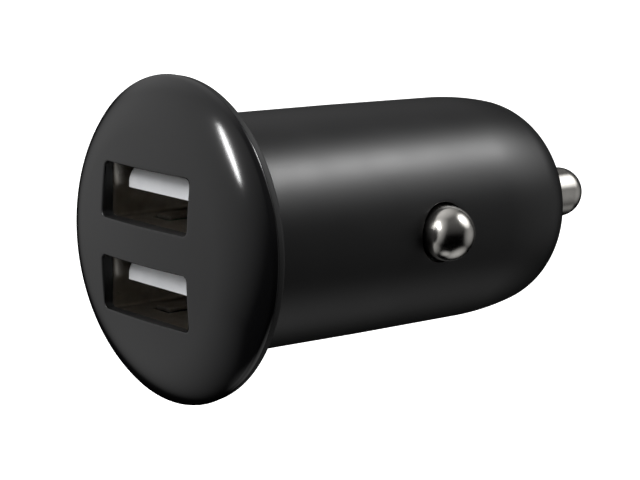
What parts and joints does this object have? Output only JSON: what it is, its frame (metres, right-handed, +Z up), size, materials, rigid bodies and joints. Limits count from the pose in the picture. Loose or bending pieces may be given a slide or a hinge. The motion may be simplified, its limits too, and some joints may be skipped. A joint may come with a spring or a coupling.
{
  "type": "car charger plug",
  "caption": "Stubby car power-socket plug with charging ports in a round face, a domed nose, a sprung tip contact and sprung side contacts.",
  "frame": {"origin": "middle of the flange's back plane, where the plug stops against the rim of the car's socket", "axes": "+X along the barrel towards the tip, the way the plug goes in; -X out of the face with the ports; +Z up as pictured, with the tongues at the top of the ports; +Y to the left of the face as seen from its front"},
  "size_m": [0.0523, 0.0282, 0.0283],
  "materials": {
    "cap_plastic": "semi-gloss moulded black polycarbonate blend",
    "barrel_plastic": "satin moulded black polycarbonate blend",
    "nickel_plate": "polished nickel plating on turned brass",
    "spring_steel": "nickel-plated spring steel",
    "brass_sheet": "stamped brass sheet",
    "board": "glass-fibre board with green solder mask",
    "shell_steel": "tin-plated folded steel sheet",
    "tongue_plastic": "white glass-filled moulding",
    "gold_flash": "gold-flashed copper alloy strip",
    "capacitor_can": "aluminium can in a dark sleeve",
    "ferrite": "sintered ferrite",
    "copper_wire": "enamelled copper wire",
    "chip_mould": "moulded epoxy with tinned leads",
    "chip_ceramic": "fired ceramic with tinned ends"
  },
  "bodies": {
    "housing": {"face_cap": "cap_plastic", "barrel": "barrel_plastic", "tip_spring": "spring_steel", "tip_terminal": "brass_sheet", "ground_leaf_left": "spring_steel", "ground_leaf_right": "spring_steel", "circuit_board": "board", "upper_socket_shell": "shell_steel", "lower_socket_shell": "shell_steel", "upper_socket_tongue": "tongue_plastic", "lower_socket_tongue": "tongue_plastic", "upper_socket_pin_1": "gold_flash", "upper_socket_pin_2": "gold_flash", "upper_socket_pin_3": "gold_flash", "upper_socket_pin_4": "gold_flash", "lower_socket_pin_1": "gold_flash", "lower_socket_pin_2": "gold_flash", "lower_socket_pin_3": "gold_flash", "lower_socket_pin_4": "gold_flash", "input_capacitor": "capacitor_can", "output_capacitor": "capacitor_can", "inductor_core": "ferrite", "inductor_winding": "copper_wire", "converter_chip": "chip_mould", "identification_chip": "chip_mould", "chip_capacitor_1": "chip_ceramic", "chip_capacitor_2": "chip_ceramic", "chip_resistor_1": "chip_ceramic", "chip_resistor_2": "chip_ceramic"},
    "tip": {"tip_contact": "nickel_plate"},
    "left_contact": {"ground_button_left": "nickel_plate"},
    "right_contact": {"ground_button_right": "nickel_plate"}
  },
  "joints": [
    {"name": "tip_press", "type": "slide", "parent": "housing", "child": "tip", "axis": [-1, 0, 0], "range_m": [0, 0.0024], "stiffness_N_per_m": 700, "springref_m": -0.002, "deforming": ["tip_spring"]},
    {"name": "left_contact_press", "type": "slide", "parent": "housing", "child": "left_contact", "axis": [0, -1, 0], "range_m": [0, 0.0027], "stiffness_N_per_m": 900, "springref_m": -0.0015, "deforming": ["ground_leaf_left"]},
    {"name": "right_contact_press", "type": "slide", "parent": "housing", "child": "right_contact", "axis": [0, 1, 0], "range_m": [0, 0.0027], "stiffness_N_per_m": 900, "springref_m": -0.0015, "deforming": ["ground_leaf_right"]}
  ]
}
